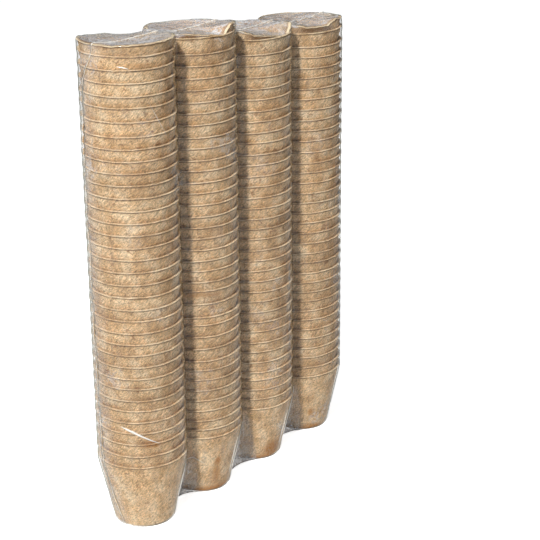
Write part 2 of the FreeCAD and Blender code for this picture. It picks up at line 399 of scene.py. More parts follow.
# The lip's paler colour: partly the cut fibre's own colour, partly a painted highlight of light catching
# the lip.
colour = add_node(
    tree, "ShaderNodeMix", {0: frayed_and_lit.outputs[0], 6: colour, 7: linear("#F0DDBB")}, data_type="RGBA"
).outputs[2]
# Each pot's own tone, which on the bottom pots also holds painted bounce light from the floor.
shade = add_node(tree, "ShaderNodeAttribute", attribute_name="batch_tone_and_bounce_light")
colour = add_node(
    tree, "ShaderNodeHueSaturation", {"Value": shade.outputs["Fac"], "Color": colour}
).outputs[0]
relief = add_node(
    tree, "ShaderNodeBump", {"Height": height, "Strength": 0.7, "Distance": FIBRE_DEPTH}
)
felt = add_node(
    tree, "ShaderNodeBsdfPrincipled",
    {
        "Base Color": colour,
        "Roughness": 0.92,
        "IOR": 1.4,
        "Specular IOR Level": 0.25,
        "Normal": relief.outputs[0],
    },
)
tree.links.new(felt.outputs[0], output.inputs["Surface"])
print("material:", fibre.name)

# %% [markdown]
# ## One pot
#
# A pot is a round cup with a thin wall and a small lip. A cylinder could be inset and extruded into
# one, but the lip has many small steps, and they are easier to write as a line. So the outline is
# written once, from the middle of the base, up the outside, over the lip and down the inside to the
# middle of the floor, and a spin turns it round the axis. This template is then copied for every
# pot and each copy is bent a little, because no two pressed pots dry alike.

# %% Outline and mesh of a pot
NESTED_RING_SHARES = (0.12, 0.3, 0.5, 0.66, 0.76, 0.83, 0.88, 0.92)
BOTTOM_RING_SHARES = tuple(ring / 30 for ring in range(1, 29))
INSIDE_RING_SHARES = (0.9, 0.7, 0.4, 0.15)
SEGMENTS = 144

# Painted shade in the corner under the lip grows over these distances below it.
PAINTED_SHADE_START = 1.6 * MM
PAINTED_SHADE_FULL = 0.5 * MM
MERGE_DISTANCE = 0.01 * MM


def wall_radius(height):
    """Radius of the outside of the wall at a height."""
    return BASE_RADIUS + (height - BASE_BEVEL) * LEAN


def pot_outline(ring_shares):
    """Points of the outline as radius, height and share in the lip's fraying and painted highlight.

    The share is negative in the corner under the lip, where a dark line of painted shade is drawn.
    """
    wall_top = POT_HEIGHT - LIP_HEIGHT
    points = [(0.0, 0.0, 0.0), (BASE_RADIUS - BASE_BEVEL, 0.0, 0.0), (BASE_RADIUS, BASE_BEVEL, 0.0)]
    for share in ring_shares:
        points.append((wall_radius(share * POT_HEIGHT), share * POT_HEIGHT, 0.0))
    points += [
        (wall_radius(wall_top - PAINTED_SHADE_START), wall_top - PAINTED_SHADE_START, 0.0),
        (wall_radius(wall_top - PAINTED_SHADE_FULL), wall_top - PAINTED_SHADE_FULL, -0.7),
        (wall_radius(wall_top), wall_top, -1.0),
        (RIM_RADIUS - LIP_ROUND / 2, POT_HEIGHT - LIP_EDGE, 0.7),
        (RIM_RADIUS, POT_HEIGHT - LIP_EDGE / 2, 0.9),
        (RIM_RADIUS - LIP_ROUND, POT_HEIGHT, 1.0),
        (RIM_RADIUS - LIP_PROUD - POT_WALL / 2, POT_HEIGHT, 0.9),
        (wall_radius(POT_HEIGHT) - POT_WALL, POT_HEIGHT - LIP_ROUND, 0.6),
    ]
    for share in INSIDE_RING_SHARES:
        points.append((wall_radius(share * POT_HEIGHT) - POT_WALL, share * POT_HEIGHT, 0.0))
    points += [(wall_radius(POT_FLOOR) - POT_WALL, POT_FLOOR, 0.0), (0.0, POT_FLOOR, 0.0)]
    return points


def spun_pot(points):
    """Mesh of a pot that stands at the origin."""
    mesh = bmesh.new()
    corners = [mesh.verts.new((radius, 0.0, height)) for radius, height, _ in points]
    edges = [mesh.edges.new(pair) for pair in zip(corners, corners[1:])]
    bmesh.ops.spin(
        mesh, geom=corners + edges, axis=(0, 0, 1), cent=(0, 0, 0), steps=SEGMENTS,
        angle=2 * math.pi, use_merge=True,
    )
    bmesh.ops.remove_doubles(mesh, verts=mesh.verts, dist=MERGE_DISTANCE)
    bmesh.ops.recalc_face_normals(mesh, faces=mesh.faces)
    for face in mesh.faces:
        face.smooth = True
    data = bpy.data.meshes.new("pot_template")
    mesh.to_mesh(data)
    mesh.free()
    return data


print("pot:", round(2 * RIM_RADIUS / MM, 1), "mm across the rim,", round(POT_HEIGHT / MM, 1), "mm high")

# %% [markdown]
# ## What each copy of a pot carries
#
# The material has to know where the lip is and how the wall unrolls. Both are worked out once for
# a template and written to every copy. The UV map runs in metres around the wall and up it. Where
# it would jump back by a whole turn, the corners of that face are moved on, so no seam shows.
#
# The bottom pots show their whole wall, so their template has more rings than the nested one.

# %% Lip shares and UV map of a template
def lip_shares(data, points):
    """For each vertex of a template, the lip share of the outline point that it comes from."""
    shares = np.zeros(len(data.vertices))
    marks = np.array([(radius, height) for radius, height, _ in points])
    for index, vertex in enumerate(data.vertices):
        spot = (math.hypot(vertex.co.x, vertex.co.y), vertex.co.z)
        nearest = np.abs(marks - spot).sum(axis=1).argmin()
        shares[index] = points[nearest][2]
    return shares


def wall_map(data):
    """UV of each face corner in metres, around the pot and up its wall, unbroken across the seam."""
    corner_vertex = np.empty(len(data.loops), int)
    data.loops.foreach_get("vertex_index", corner_vertex)
    places = np.empty(3 * len(data.vertices))
    data.vertices.foreach_get("co", places)
    places = places.reshape(-1, 3)
    turn = np.arctan2(places[:, 1], places[:, 0])[corner_vertex]
    reach = np.hypot(places[:, 0], places[:, 1])[corner_vertex]
    for face in data.polygons:
        corners = slice(face.loop_start, face.loop_start + face.loop_total)
        span = turn[corners]
        if span.max() - span.min() > math.pi:
            turn[corners] = np.where(span < 0, span + 2 * math.pi, span)
    up = places[:, 2][corner_vertex]
    return np.stack([turn * RIM_RADIUS, up + (RIM_RADIUS - reach) / 2], axis=1)


def make_template(ring_shares):
    """A pot's mesh, lip shares and UV map, to be copied."""
    outline = pot_outline(ring_shares)
    pot = spun_pot(outline)
    return pot, lip_shares(pot, outline), wall_map(pot)


nested_template = make_template(NESTED_RING_SHARES)
bottom_template = make_template(BOTTOM_RING_SHARES)
print("vertices:", [len(made[0].vertices) for made in (nested_template, bottom_template)])

# %% [markdown]
# ## Top rims
#
# The film has pulled the top rims in and down while the fibre was still soft enough to fold. On
# three stacks the rim turns up to a point at the camera's right. Such a rim could be sculpted by
# hand, but a table of how far it has dropped and how far it is pulled in, every few degrees round,
# is easy to read and to correct, and the film can follow the same table. Angles run from the point
# of the rim nearest the camera, positive to the camera's right, and lengths are in millimetres.

# %% How the top rims are pressed
NEAREST = math.radians(-143.0)
RIM_DROPS = {
    1: ((-180, 6.5), (-164, 6.3), (-146, 4.4), (-134, 4.2), (-112, 2.4), (-92, 0.4), (-60, 0.0),
        (-24, 0.1), (-13, 0.9), (-4, 0.2), (40, 0.0), (90, 0.0), (112, 1.0), (138, 3.0), (163, 4.6),
        (180, 6.5)),
    2: ((-180, 6.0), (-140, 6.0), (-110, 4.5), (-90, 4.0), (-45, 4.0), (0, 4.4), (30, 5.8), (56, 8.0),
        (63, 3.6), (70, -0.4), (82, 0.2), (92, 0.4), (112, 2.6), (140, 5.0), (180, 6.0)),
    3: ((-180, 4.5), (-140, 4.0), (-110, 3.0), (-90, 2.2), (-40, 0.8), (-10, -0.8), (3, 1.6), (13, 3.9),
        (32, 5.2), (59, 7.2), (76, 9.0), (83, 5.0), (90, -0.4), (104, 0.4), (140, 3.2), (180, 4.5)),
    4: ((-180, 3.4), (-140, 3.0), (-110, 2.2), (-90, 1.8), (-20, 0.8), (0, 1.8), (12, 3.4), (45, 3.6),
        (56, 0.8), (68, -1.0), (80, 0.6), (92, 0.0), (120, 1.6), (180, 3.4)),
}
RIM_INSETS = {
    1: ((-180, 1.6), (-120, 0.8), (-90, 0.0), (90, 0.0), (130, 0.8), (180, 1.6)),
    2: ((-180, 2.6), (-90, 2.0), (0, 3.0), (40, 3.0), (60, 2.2), (70, 1.0), (84, 0.3), (110, 1.6),
        (180, 2.6)),
    3: ((-180, 2.6), (-90, 2.0), (-20, 1.6), (20, 3.0), (60, 2.6), (78, 2.0), (90, 0.4), (110, 1.6),
        (180, 2.6)),
    4: ((-180, 2.4), (-90, 1.8), (0, 3.0), (30, 4.2), (50, 4.0), (66, 3.0), (76, 1.2), (92, 0.6),
        (180, 2.4)),
}


def read_round(table, angle):
    """Value of a table at an angle in degrees, eased between its entries."""
    angle = (angle + 180.0) % 360.0 - 180.0
    for (start, low), (end, high) in zip(table, table[1:]):
        if start <= angle <= end:
            share = (angle - start) / (end - start)
            return low + (high - low) * share * share * (3 - 2 * share)
    return table[-1][1]


def from_nearest(turn):
    """A turn about a stack's axis as an angle in degrees from the point nearest the camera."""
    return math.degrees(turn - NEAREST)


def rim_drop(stack, turn):
    """How far the top rim of a stack has dropped at a turn about its axis."""
    return read_round(RIM_DROPS[stack], from_nearest(turn)) * MM


def rim_inset(stack, turn):
    """How far the top rim of a stack is pulled in at a turn about its axis."""
    return read_round(RIM_INSETS[stack], from_nearest(turn)) * MM


print("deepest drops in mm:", {stack: max(drop for _, drop in RIM_DROPS[stack]) for stack in STACKS})

# %% [markdown]
# ## How the pots have settled
#
# The pots don't stand at one even pitch. Whole runs of them have been pushed further in or less
# far than others, so their rims stand up to five millimetres off the even places. The pots between
# two entries of the table share the difference. The film is drawn in between the rims, so their
# levels are kept for it.

# %% Lifts of the pots and levels of the rims
# Each entry is a pot, counted from the floor, and its lift in mm.
LIFTS = {
    1: ((0, 4.0), (3, 5.0), (4, 4.8), (6, 3.9), (10, 2.6), (13, 1.5), (16, 2.0), (21, 2.6), (25, 2.2),
        (27, 0.8), (30, 1.8), (34, 2.0), (35, 0.0)),
    2: ((0, 0.2), (1, -1.0), (3, -2.6), (6, -3.0), (8, -3.8), (11, 0.0)),
    3: ((0, -1.6), (3, -1.8), (5, -3.2), (8, -2.2), (15, -2.0), (17, -0.6), (20, -1.6), (22, -0.4),
        (30, 0.0)),
    4: ((0, 2.6), (5, 3.0), (9, 1.8), (12, 1.0), (28, 1.0), (32, 0.0)),
}


def lift_of(stack, pot):
    """How far a pot stands above its even place."""
    return float(np.interp(pot, *zip(*LIFTS[stack]))) * MM


RIM_LEVELS = {
    stack: [
        POTS_LEVEL + pot * PITCHES[stack] + lift_of(stack, pot) + POT_HEIGHT
        for pot in range(POT_COUNTS[stack])
    ]
    for stack in STACKS
}
TOP_RIMS = {
    stack: POTS_LEVEL + (POT_COUNTS[stack] - 1) * PITCHES[stack] + POT_HEIGHT for stack in STACKS
}
print("top rims in mm:", {stack: round(rim / MM, 1) for stack, rim in TOP_RIMS.items()})

# %% [markdown]
# ## Bending each pot
#
# Four small faults make a pot look pressed and dried, not turned: it is slightly oval, its rim
# waves up and down, its lip is frayed, and here and there the lip is torn. None is as much as a
# millimetre, so the lips do no more than reach the film. A top pot is also pulled in and down at
# its rim, and crumples there. A Displace modifier could make the waves, but not the tears or the
# leaning, so one function moves each vertex. The faults come from a seeded generator and from
# smooth noise, so every run gives the same pots.
#
# Each noise is read on a circle that goes round with the pot. A larger circle gives finer faults.
# The circle's height in the noise comes from the pot's own number, so no two pots are alike.

# %% Bend a pot
OVAL = 0.16 * MM
RIM_WAVE = 0.42 * MM
LIP_FRAY = 0.3 * MM
LIP_RAGGED = 0.55 * MM
WALL_WAVE = 0.12 * MM
TEAR_DEPTH = 0.9 * MM
TEAR_COUNTS = (0, 0, 1, 2, 3)
TEAR_HALF_WIDTHS = (0.02, 0.07)
LEAN_JITTER = 0.3 * MM
LEAN_SHARES = (0.2, 1.0)

# Radii of the circles in the noise, from the broadest fault to the finest.
BROAD, RAGGED, CRUMPLED, FINE, HAIR = 1.7, 7.0, 9.0, 19.0, 61.0

# The pressed part of a top pot. It goes in and down faster and faster towards the rim, and where
# the rim has dropped far enough, the fold under it gets the full painted shade.
PRESSED_BAND = 11 * MM
INSET_POWER = 1.3
DROP_POWER = 1.2
CRUMPLE = 0.5 * MM
CRUMPLE_DROP_SHARE = 0.6
FOLD_SHADE_DROP = 3 * MM


def bend_pot(corners, shares, seed, rng, press=None):
    """Moves the vertices of a pot that stands at the origin, and returns how much painted shade each
    one gets.

    press is the stack of a pressed pot. The wall under its pulled-in rim lies in a fold, which gets
    painted shade.
    """
    oval_turn = rng.uniform(0, math.pi)
    lean_turn = rng.uniform(0, 2 * math.pi)
    lean_by = rng.uniform(*LEAN_SHARES) * LEAN_JITTER / RIM_RADIUS
    tear_count = rng.choice(TEAR_COUNTS)
    tears = [(rng.uniform(0, 2 * math.pi), rng.uniform(*TEAR_HALF_WIDTHS)) for _ in range(tear_count)]
    painted_shades = []
    for corner, share in zip(corners, shares):
        # Painted shade under the lip comes from the outline's negative shares.
        dark = max(0.0, -share)
        share = max(0.0, share)
        x, y, height = corner.co
        reach = math.hypot(x, y)
        turn = math.atan2(y, x)
        up = height / POT_HEIGHT
        around = Vector((math.cos(turn), math.sin(turn), 0.0))
        broad = noise.noise(around * BROAD + Vector((0, 0, seed * 3.1)))
        ragged = noise.noise(around * RAGGED + Vector((0, 0, seed * 5.3)))
        fine = noise.noise(around * FINE + Vector((0, 0, seed * 7.7 + up * 3)))
        hair = noise.noise(around * HAIR + Vector((0, 0, seed * 1.3)))
        reach_change = up * (OVAL * math.cos(2 * (turn - oval_turn)) + WALL_WAVE * broad)
        # The lip stands back more often and further than it stands out.
        reach_change += share * (LIP_FRAY * fine + LIP_RAGGED * min(ragged - 0.1, 0.35))
        level_change = up * up * RIM_WAVE * broad + share * LIP_FRAY * (fine + hair)
        for middle, half_width in tears:
            apart = abs((turn - middle + math.pi) % (2 * math.pi) - math.pi)
            if apart < half_width:
                level_change -= share * TEAR_DEPTH * (1 - apart / half_width) * (0.6 + hair)
        if press and reach > 0:
            bent = max(0.0, (height - POT_HEIGHT + PRESSED_BAND) / PRESSED_BAND)
            crumple = CRUMPLE * noise.noise(around * CRUMPLED + Vector((0, 0, seed + up * 9)))
            reach_change -= bent ** INSET_POWER * rim_inset(press, turn) - bent * crumple
            drop = rim_drop(press, turn)
            level_change -= bent ** DROP_POWER * drop + bent * crumple * CRUMPLE_DROP_SHARE
            # Painted shade in the fold: only the upper wall lies in it, and not the lip itself.
            if share < 0.3 and reach > RIM_RADIUS - 2 * POT_WALL:
                dark = max(dark, min(1.0, 2 * bent) * min(1.0, drop / FOLD_SHADE_DROP))
        if reach > 0:
            reach_change *= min(1.0, reach / BASE_RADIUS)
            x += around.x * reach_change
            y += around.y * reach_change
        level_change += lean_by * reach * math.cos(turn - lean_turn) * up
        corner.co = (x, y, height + level_change)
        painted_shades.append(dark)
    return painted_shades


print("bending: oval", OVAL / MM, "mm, rim wave", RIM_WAVE / MM, "mm")

# %% [markdown]
# ## Stains
#
# Water has left brown patches on the pots, most of them round the feet of the stacks. Each stain
# is an ellipse on the wall that fades out past its edge. They could be painted into an image, but
# each pot would then need a picture of its own. Here every vertex stores how strongly it is
# stained, and the material breaks up the edge with the specks of the felt.

# %% Where the pots are stained
# Each stain's angle from the nearest point and height in mm, then its half sizes and its strength.
STAINS = {
    1: ((18, 86, 11, 2.4, 1.0), (-22, 437, 16, 3.5, 0.4), (14, 420, 20, 1.5, 0.4)),
    2: ((31, 33, 5, 4, 0.9), (30, 17, 6, 9, 0.6), (20, 0, 48, 5, 1.0), (8, 200, 30, 2, 0.5)),
    3: ((42, 8, 17, 9, 0.9), (15, 0, 42, 4, 0.9)),
    4: ((20, 0, 30, 5, 0.8), (18, 21, 4, 3, 0.8)),
}
STAIN_REACH = 1.6


def stain_of(stack, place):
    """How strongly a spot is stained, from 0 to 1."""
    angle = from_nearest(math.atan2(place.y, place.x - AXES[stack]))
    height = place.z / MM
    strength = 0.0
    for middle, level, half_angle, half_height, share in STAINS[stack]:
        if abs(height - level) < STAIN_REACH * half_height:
            apart = (angle - middle + 180) % 360 - 180
            away = math.hypot(apart / half_angle, (height - level) / half_height)
            strength = max(strength, share * min(1.0, max(0.0, STAIN_REACH - away)))
    return strength


print("stains:", sum(len(stains) for stains in STAINS.values()))

# %% [markdown]
# ## The stacks
#
# The frame has one node for each bottom pot, one for each top pot, and one for each small group
# between them. One piece is built for each of these nodes, as a mesh of whole, closed pots. An
# Array modifier could stack them faster, but then every pot would be the same.
#
# A bottom pot stands on the floor, so where the pots above it are lifted it is stretched up to
# them. The ends of a stack sit true, and each pot between them is a little off.

# %% Build the pots of each node
SEAT_JITTER = 0.55 * MM

# The film has drawn the last pot under each pressed one up and out.
SECOND_LIFTS = {2: 3.4 * MM, 3: 3.0 * MM, 4: 2.2 * MM}

# These pots have slipped out of their even places, stack and pot from the floor.
SLIPPED = {(2, 12): -3.0 * MM, (2, 14): 1.6 * MM, (1, 30): 1.4 * MM}

# The bottom pots are the palest, as painted bounce light from the white floor, and the top pots'
# lips are paler still, partly their own colour and partly a painted highlight.
BATCH_SHADES = (0.93, 1.06)
BOTTOM_BOUNCE_LIGHT = 1.06
TOP_LIP_PALE_AND_LIT = 2.6


def node_groups(stack):
    """Name, first pot and count of pots for each node of a stack."""
    between = POT_COUNTS[stack] - 2
    yield f"stack_{stack}_bottom_pot", 0, 1
    for group in range(GROUPS_PER_STACK):
        start = between * group // GROUPS_PER_STACK
        end = between * (group + 1) // GROUPS_PER_STACK
        yield f"stack_{stack}_pots_{group + 1:02d}", start + 1, end - start
    yield f"stack_{stack}_top_pot", POT_COUNTS[stack] - 1, 1


def seat_change(stack, pot, rng):
    """How far a pot sits off its settled place. The ends of a stack sit true."""
    if pot == POT_COUNTS[stack] - 2 and stack in SECOND_LIFTS:
        return SECOND_LIFTS[stack]
    if (stack, pot) in SLIPPED:
        return SLIPPED[stack, pot]
    return 0.0 if pot in (0, POT_COUNTS[stack] - 1) else rng.uniform(-SEAT_JITTER, SEAT_JITTER)


def write_attribute(data, name, values):
    """Gives each vertex of a mesh a number that its material can read."""
    layer = data.attributes.new(name, "FLOAT", "POINT")
    layer.data.foreach_set("value", np.asarray(values, dtype=np.float32))


def build_pots(name, stack, first, pots, rng):
    """The piece of one node: its pots in their places, with what their material reads."""
    source, shares, face_map = nested_template if first else bottom_template
    last = POT_COUNTS[stack] - 1
    mesh = bmesh.new()
    shades, painted_shades = [], []
    for pot in range(first, first + pots):
        start = len(mesh.verts)
        mesh.from_mesh(source)
        mesh.verts.ensure_lookup_table()
        corners = mesh.verts[start:]
        pressed = stack if pot == last else None
        painted_shades += bend_pot(corners, shares, stack * 100 + pot, rng, pressed)
        lift = lift_of(stack, pot)
        if pot == 0:
            bmesh.ops.scale(mesh, verts=corners, vec=(1, 1, 1 + lift / POT_HEIGHT))
            lift = 0.0
        level = POTS_LEVEL + pot * PITCHES[stack] + lift + seat_change(stack, pot, rng)
        bmesh.ops.translate(mesh, verts=corners, vec=(AXES[stack], 0.0, level))
        shades += [rng.uniform(*BATCH_SHADES) if pot else BOTTOM_BOUNCE_LIGHT] * len(corners)
    data = bpy.data.meshes.new(name)
    mesh.to_mesh(data)
    mesh.free()
    # The top pots' lips are paler still, partly as a painted highlight.
    paleness = TOP_LIP_PALE_AND_LIT if first == last else 1.0
    write_attribute(data, "lip", np.tile(shares, pots).clip(min=0) * paleness)
    write_attribute(data, "painted_shade", painted_shades)
    write_attribute(data, "batch_tone_and_bounce_light", shades)
    write_attribute(data, "peat_stain", [stain_of(stack, vertex.co) for vertex in data.vertices])
    shifts = [(rng.uniform(0, 1), rng.uniform(0, 1)) for _ in range(pots)]
    wall = np.tile(face_map, (pots, 1)) + np.repeat(shifts, len(face_map), axis=0)
    data.uv_layers.new(name="wall").data.foreach_set("uv", wall.ravel())
    data.materials.append(fibre)
    piece = bpy.data.objects.new(f"{name}_fibre", data)
    bpy.context.scene.collection.objects.link(piece)
    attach(piece, "root")
    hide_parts(name)
    return piece


made = 0
for stack in STACKS:
    for name, first, pots in node_groups(stack):
        rng = random.Random(stack * 1000 + first)
        build_pots(name, stack, first, pots, rng)
        made += pots
print("pots:", made)

# %% [markdown]
# ## Shrink film
#
# Shrink film is clear polyolefin about 0.05 mm thick. Seen square on it is nearly invisible, and
# at a glancing angle it mirrors the sky. Shrinking leaves it faintly milky, with fine tight
# wrinkles. One shader lets the view through, one adds the milk, and a glossy one adds the shine.
#
# Film seen at a slant is thicker to look through, so it is milkier there, and seen from above the
# mouths stay deep. Seen nearly edge on, its many wrinkles also dim what lies behind it a little,
# which draws the grey edge of the near end. Milky film scatters light forward, so it hardly
# darkens what it covers, and it casts no shadow here.
#
# A Fresnel node would take the inner face of the film for the inside of solid plastic and mirror
# everything there. So the shine is worked out from the facing angle, which is the same from both
# sides: the share that a clear plastic mirrors square on, rising with the fifth power.

# %% Material of the film
FILM_IOR = 1.5
MIRROR_SQUARE_ON = ((FILM_IOR - 1) / (FILM_IOR + 1)) ** 2
MIRROR_POWER = 5.0
WRINKLE_SIZE = 6 * MM
WRINKLE_DEPTH = 0.13 * MM
STREAK_WIDTH = 2.5 * MM
STREAK_LENGTH = 30 * MM
DIMMED_FROM = 0.78
MILK_SQUARE_ON = 0.15
MILK_EDGE_ON = 1.4


def film_material(name, milk, tint, gloss_share):
    """Clear film with a share of milk all over, and more of it where the mesh's attributes say."""
    material, tree, output = new_material(name)
    place = add_node(tree, "ShaderNodeTexCoord")
    wrinkles = add_node(
        tree, "ShaderNodeTexNoise",
        {"Vector": place.outputs["Object"], "Scale": 1 / WRINKLE_SIZE, "Detail": 1.5, "Distortion": 1.6},
    )
    laid = add_node(
        tree, "ShaderNodeMapping",
        {"Vector": place.outputs["UV"], "Scale": (1 / STREAK_WIDTH, 1 / STREAK_LENGTH, 1)},
    )
    streaks = add_node(
        tree, "ShaderNodeTexNoise", {"Vector": laid.outputs[0], "Scale": 1.0, "Detail": 1.5}
    )
    height = add_node(
        tree, "ShaderNodeMath", {0: wrinkles.outputs["Fac"], 1: streaks.outputs["Fac"]}, operation="ADD"
    )
    relief = add_node(
        tree, "ShaderNodeBump", {"Height": height.outputs[0], "Strength": 0.8, "Distance": WRINKLE_DEPTH}
    )
    glance = add_node(tree, "ShaderNodeLayerWeight", {"Blend": 0.5, "Normal": relief.outputs[0]})
    slanted = add_node(
        tree, "ShaderNodeMapRange",
        {"Value": glance.outputs["Facing"], "To Min": MILK_SQUARE_ON, "To Max": MILK_EDGE_ON},
    )
    for attribute, texture, low, high in (
        ("slack", wrinkles, 0.2, 0.75), ("folds", streaks, 0.48, 0.68), ("crazed", wrinkles, 0.48, 0.6),
    ):
        share = add_node(tree, "ShaderNodeAttribute", attribute_name=attribute)
        pattern = add_node(
            tree, "ShaderNodeMapRange",
            {"Value": texture.outputs["Fac"], "From Min": low, "From Max": high},
        )
        thick = add_node(
            tree, "ShaderNodeMath", {0: pattern.outputs[0], 1: slanted.outputs[0]}, operation="MULTIPLY"
        )
        milk = add_node(
            tree, "ShaderNodeMath",
            {0: share.outputs["Fac"], 1: thick.outputs[0], 2: milk}, operation="MULTIPLY_ADD",
        ).outputs[0]
    edge_on = add_node(tree, "ShaderNodeLayerWeight", {"Blend": 0.5})
    dimmed = add_node(
        tree, "ShaderNodeMapRange",
        {"Value": edge_on.outputs["Facing"], "From Min": DIMMED_FROM, "From Max": 1.0},
    )
    passed = add_node(
        tree, "ShaderNodeMix",
        {0: dimmed.outputs[0], 6: linear("#FFFFFF"), 7: linear("#B0B4A2")}, data_type="RGBA",
    )
    clear = add_node(tree, "ShaderNodeBsdfTransparent", {"Color": passed.outputs[2]})
    cloudy = add_node(tree, "ShaderNodeBsdfPrincipled", {
        "Base Color": linear(tint), "Roughness": 0.4, "IOR": FILM_IOR, "Normal": relief.outputs[0],
    })
    shiny = add_node(
        tree, "ShaderNodeBsdfGlossy",
        {"Color": linear("#FFFFFF"), "Roughness": 0.12, "Normal": relief.outputs[0]},
    )
    web = add_node(tree, "ShaderNodeMixShader", {0: milk, 1: clear.outputs[0], 2: cloudy.outputs[0]})
    steep = add_node(
        tree, "ShaderNodeMath", {0: glance.outputs["Facing"], 1: MIRROR_POWER}, operation="POWER"
    )
    mirror = add_node(
        tree, "ShaderNodeMapRange",
        {"Value": steep.outputs[0], "To Min": MIRROR_SQUARE_ON * gloss_share, "To Max": gloss_share},
    )
    mixed = add_node(
        tree, "ShaderNodeMixShader", {0: mirror.outputs[0], 1: web.outputs[0], 2: shiny.outputs[0]}
    )
    tree.links.new(mixed.outputs[0], output.inputs["Surface"])
    return material


clear_film = film_material("shrunk_polyolefin_film", 0.0, "#E2E1E2", 0.5)
weld_film = film_material("welded_film", 0.75, "#FAF8F2", 0.6)
print("materials:", clear_film.name, weld_film.name)

# %% [markdown]
# ## Outline of the film
#
# Seen from above, the film runs round the near side of each stack as an arc and dips into each
# valley as a hollow arc that is tangent to both. How deep a valley goes is set by the half width
# of the neck that is left between the front web and the back web.

# %% Level outline of the film
FILM_GAP = 0.45 * MM
NECKS_LOW = {1: 6 * MM, 2: 12 * MM, 3: 9 * MM}
NECK_MID = 17 * MM
NECK_TOP = 20 * MM
NECK_BLEND_SHARES = ((0.0, 0.0), (0.12, 0.15), (0.3, 0.42), (0.55, 0.75), (0.8, 0.93), (1.0, 1.0))
SPACING = AXES[2] - AXES[1]
STACK_COLUMNS = 26
VALLEY_COLUMNS = 10
WELD_HALF = 0.4 * MM
WELD_WANDER = ((0.0, 0.0), (0.06, 10.0), (0.3, 20.0), (0.8, 26.0), (0.93, 18.0), (0.985, 0.0))
TALLEST = max(TOP_RIMS.values())


def columns_of_film():
    """Each column of a web, as its kind, its stack or valley, and its share of the way along it."""
    columns = []
    for stack in STACKS:
        columns += [("stack", stack, step / STACK_COLUMNS) for step in range(STACK_COLUMNS)]
        if stack in NECKS_LOW:
            columns += [("valley", stack, step / VALLEY_COLUMNS) for step in range(VALLEY_COLUMNS)]
    return columns + [("stack", STACKS[-1], 1.0)]


def neck_at(valley, level):
    """Half width of a valley's neck: narrow at the floor, and nearly even above the bottom pots."""
    share = (level - POTS_LEVEL) / POT_HEIGHT
    if share >= 1.0:
        rise = (level - POTS_LEVEL - POT_HEIGHT) / (TALLEST - POT_HEIGHT)
        return NECK_MID + (NECK_TOP - NECK_MID) * min(rise, 1.0)
    blend = np.interp(share, *zip(*NECK_BLEND_SHARES))
    return NECKS_LOW[valley] + (NECK_MID - NECKS_LOW[valley]) * float(blend)


def radius_at(level):
    """Radius of the film round a stack: it follows the bottom pot, then stands straight up."""
    share = min(max((level - POTS_LEVEL) / POT_HEIGHT, 0.0), 1.0)
    return BASE_RADIUS + (RIM_RADIUS - BASE_RADIUS) * share + FILM_GAP


def hollow_at(valley, level):
    """Radius of a valley's hollow arc, and the turn at which it meets the arcs beside it."""
    radius, neck, half = radius_at(level), neck_at(valley, level), SPACING / 2
    hollow = (half**2 + neck**2 - radius**2) / (2 * (radius - neck))
    return hollow, math.atan2(neck + hollow, half)


def weld_wander(level):
    """How far the weld has slipped round stack 1 towards the back web, as a turn."""
    share = min(max(level / TOP_RIMS[1], 0.0), 1.0)
    return math.radians(float(np.interp(share, *zip(*WELD_WANDER))))


def outline_spot(column, level, side):
    """Place and outward direction of a column at a level, for a web on the +Y side, and its turn.

    The +Y side is mirrored later for the front web, so side only says which way the weld slips.
    """
    kind, number, share = column
    if kind == "stack":
        beside_weld = WELD_HALF / radius_at(level)
        start = math.pi - beside_weld - side * weld_wander(level)
        if number > 1:
            start = math.pi - hollow_at(number - 1, level)[1]
        end = hollow_at(number, level)[1] if number in NECKS_LOW else beside_weld
        turn = start + (end - start) * share
        out = Vector((math.cos(turn), math.sin(turn), 0.0))
        return Vector((AXES[number], 0.0, level)) + out * radius_at(level), out, turn
    hollow, contact = hollow_at(number, level)
    turn = math.pi + contact + (math.pi - 2 * contact) * share
    out = Vector((math.cos(turn), math.sin(turn), 0.0))
    middle = Vector((AXES[number] + SPACING / 2, neck_at(number, level) + hollow, level))
    return middle + out * hollow, -out, turn


COLUMNS = columns_of_film()
print("film columns:", len(COLUMNS))

# %% [markdown]
# ## How the film lies over the mouths
#
# Over each mouth the film rests on the rim and sags a little in the middle, where it is crinkled.
# Between two stacks it bridges from rim to rim. One function gives its height anywhere over the
# pack, so the two webs and the weld between them agree. It weighs each rim by how near it is.

# %% Height of the film over the mouths
FILM_SAG = 2.2 * MM
BRIDGE_SAG_SHARE = 0.55
BRIDGE_BLEND = 0.3 * MM
CRINKLE = 0.7 * MM
CRINKLE_SIZE = 9 * MM
CRINKLE_STRETCH = 2.2
CRINKLE_SHARES = {1: 0.5, 2: 0.8, 3: 1.0, 4: 2.2}
ROUND_THE_RIM = range(0, 360, 5)


def rim_level(stack, turn):
    """Level of the film on a top rim."""
    return TOP_RIMS[stack] - rim_drop(stack, turn) + FILM_GAP


MEAN_RIM_LEVELS = {
    stack: sum(rim_level(stack, math.radians(turn)) for turn in ROUND_THE_RIM) / len(ROUND_THE_RIM)
    for stack in STACKS
}


